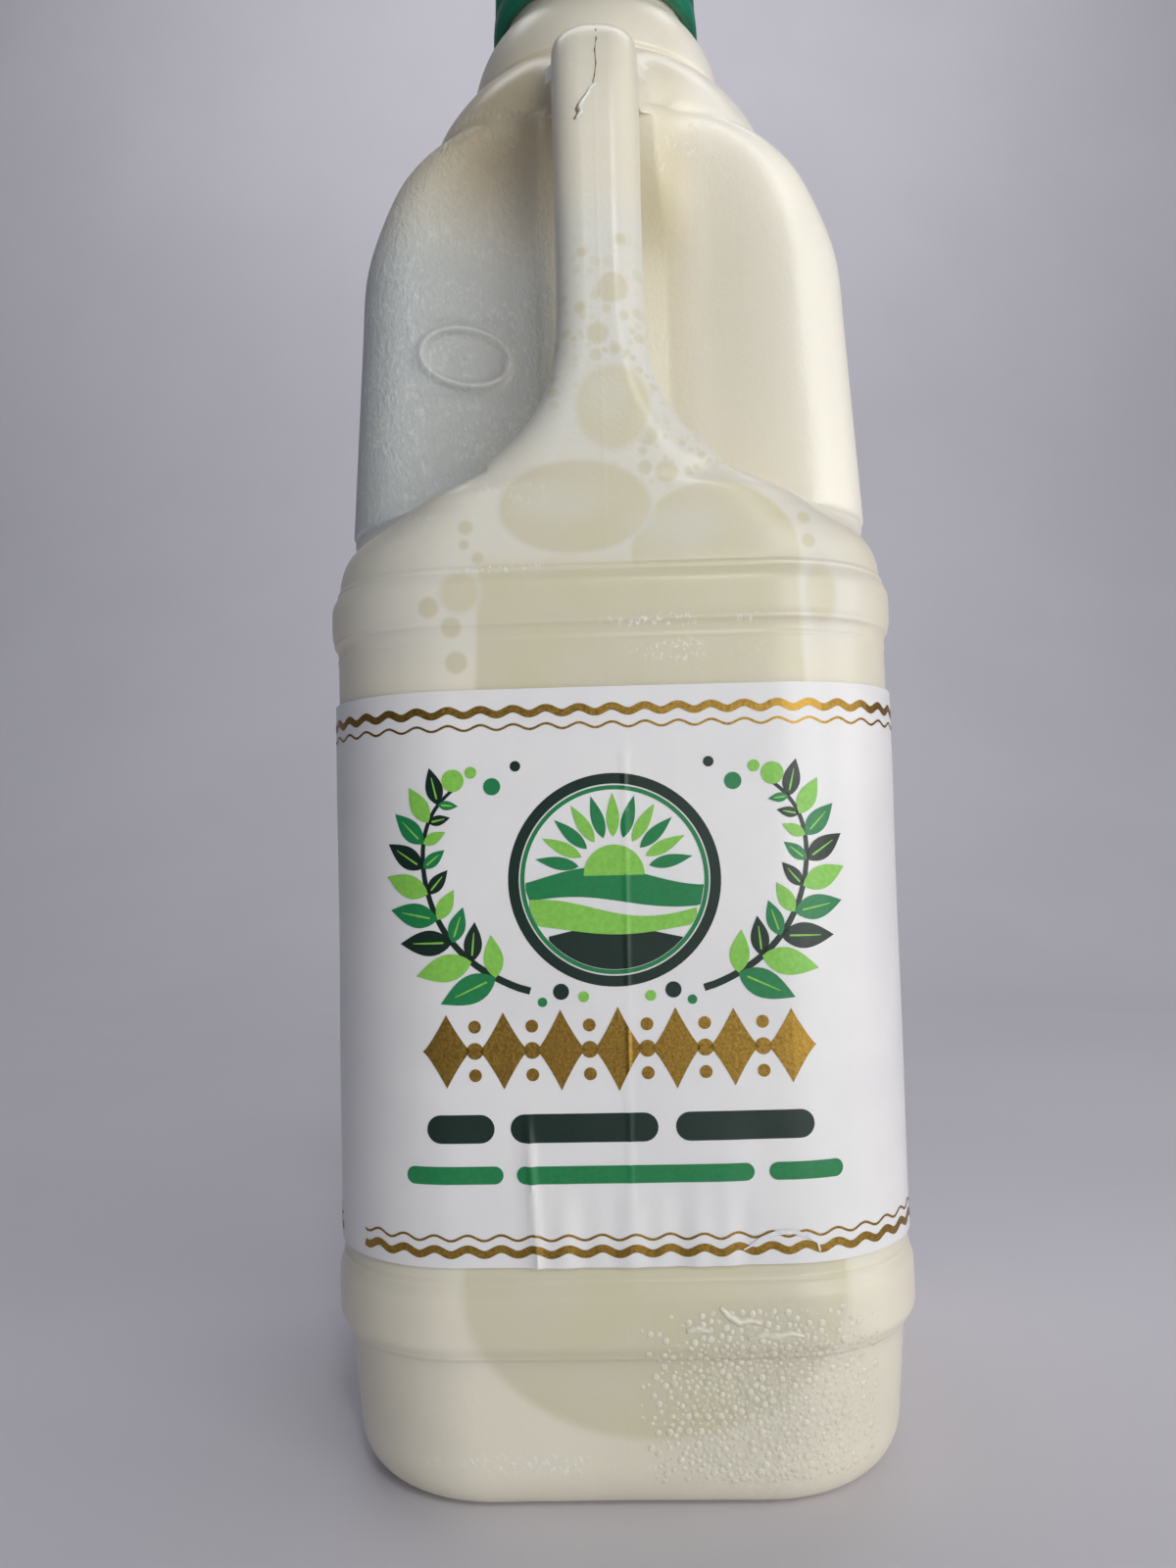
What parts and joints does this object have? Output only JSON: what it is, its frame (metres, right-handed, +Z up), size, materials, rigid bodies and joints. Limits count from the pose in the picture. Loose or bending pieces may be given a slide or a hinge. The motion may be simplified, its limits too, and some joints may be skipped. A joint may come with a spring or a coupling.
{
  "type": "plastic milk jug",
  "caption": "Full plastic milk jug with a hollow grip moulded into its recessed upper front, a wrap-round label and a ribbed screw cap with a tamper ring",
  "frame": {"origin": "middle of the bounding box's underside, on the plane that the foot stands on", "axes": "+Z up along the jug from its base to its cap, -Y towards the face with the grip, +X to the right of a person looking at that face"},
  "size_m": [0.0948, 0.1065, 0.2775],
  "materials": {
    "bottle_plastic": "natural translucent blow-moulded plastic, satin gloss",
    "milk": "opaque cream-white liquid",
    "label_film": "smooth white film with gold and green print",
    "cap_plastic": "coloured moulded plastic"
  },
  "bodies": {
    "root": {"bottle": "bottle_plastic", "milk": "milk", "label": "label_film", "cap": "cap_plastic"}
  },
  "joints": []
}
